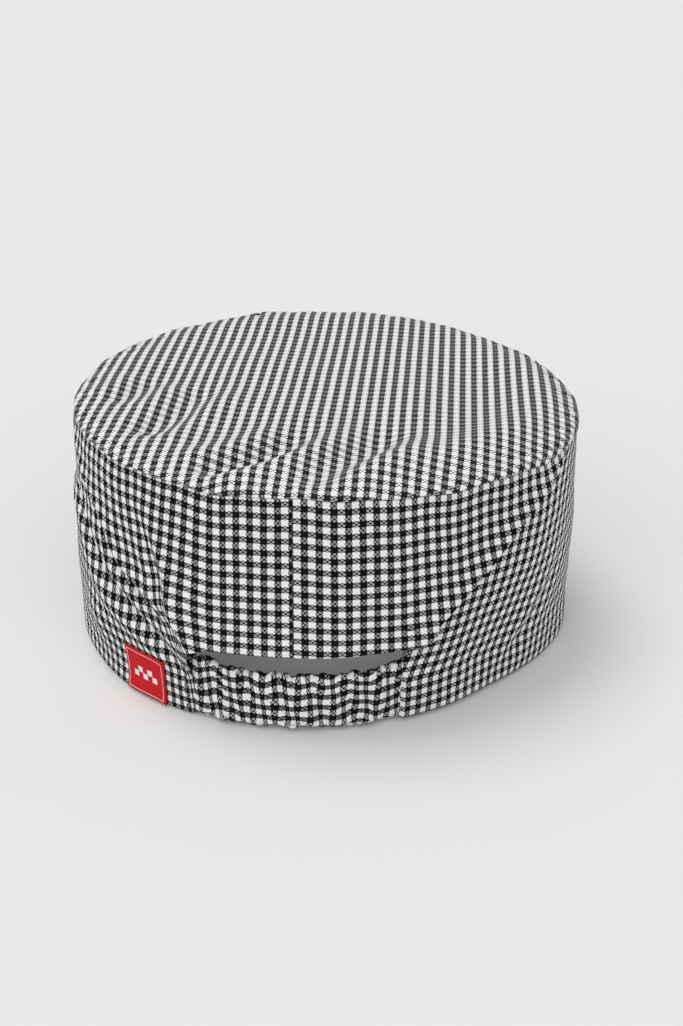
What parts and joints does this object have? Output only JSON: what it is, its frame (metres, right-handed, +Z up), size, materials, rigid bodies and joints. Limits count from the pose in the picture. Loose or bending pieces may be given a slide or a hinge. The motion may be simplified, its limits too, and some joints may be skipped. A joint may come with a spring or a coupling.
{
  "type": "kitchen skull cap",
  "caption": "Round brimless cloth kitchen cap: flat crown on an upright band, with an open slot above a gathered elastic casing at the back.",
  "frame": {"origin": "centre of the head opening, in the plane that the hem stands on", "axes": "+Z up towards the crown, -Y towards the elastic back, +Y towards the wearer's forehead, +X towards the wearer's right"},
  "size_m": [0.188, 0.1879, 0.094],
  "materials": {
    "check_cloth": "black and white twill gingham, matt",
    "lining_cloth": "plain light grey cotton, matt",
    "binding_tape": "black cotton twill tape",
    "elastic": "woven elastic, matt",
    "label_weave": "red damask woven label, slight sheen",
    "care_satin": "white satin ribbon",
    "grey_thread": "spun polyester sewing thread",
    "black_thread": "spun polyester sewing thread",
    "red_thread": "spun polyester sewing thread"
  },
  "bodies": {
    "cap": {"crown_top": "check_cloth", "crown_seam_binding": "binding_tape", "crown_seam_thread": "grey_thread", "side_band": "check_cloth", "band_lining": "lining_cloth", "back_seam_thread": "grey_thread", "slot_hem_thread": "grey_thread", "hem_thread": "grey_thread", "casing_seam_thread_left": "black_thread", "casing_seam_thread_right": "black_thread", "woven_label": "label_weave", "label_thread": "red_thread", "care_label_thread": "grey_thread"},
    "elastic_back": {"elastic_casing": "check_cloth", "elastic_strip": "elastic"},
    "care_flap": {"care_label": "care_satin"}
  },
  "joints": [
    {"name": "elastic_stretch", "type": "slide", "parent": "cap", "child": "elastic_back", "axis": [0, -1, 0], "range_m": [0, 0.014], "stiffness_N_per_m": 220},
    {"name": "care_label_turn", "type": "hinge", "parent": "cap", "child": "care_flap", "pos_m": [0.0885, 0, 0.0801], "axis": [0, 1, 0], "range_deg": [0, 95]}
  ]
}
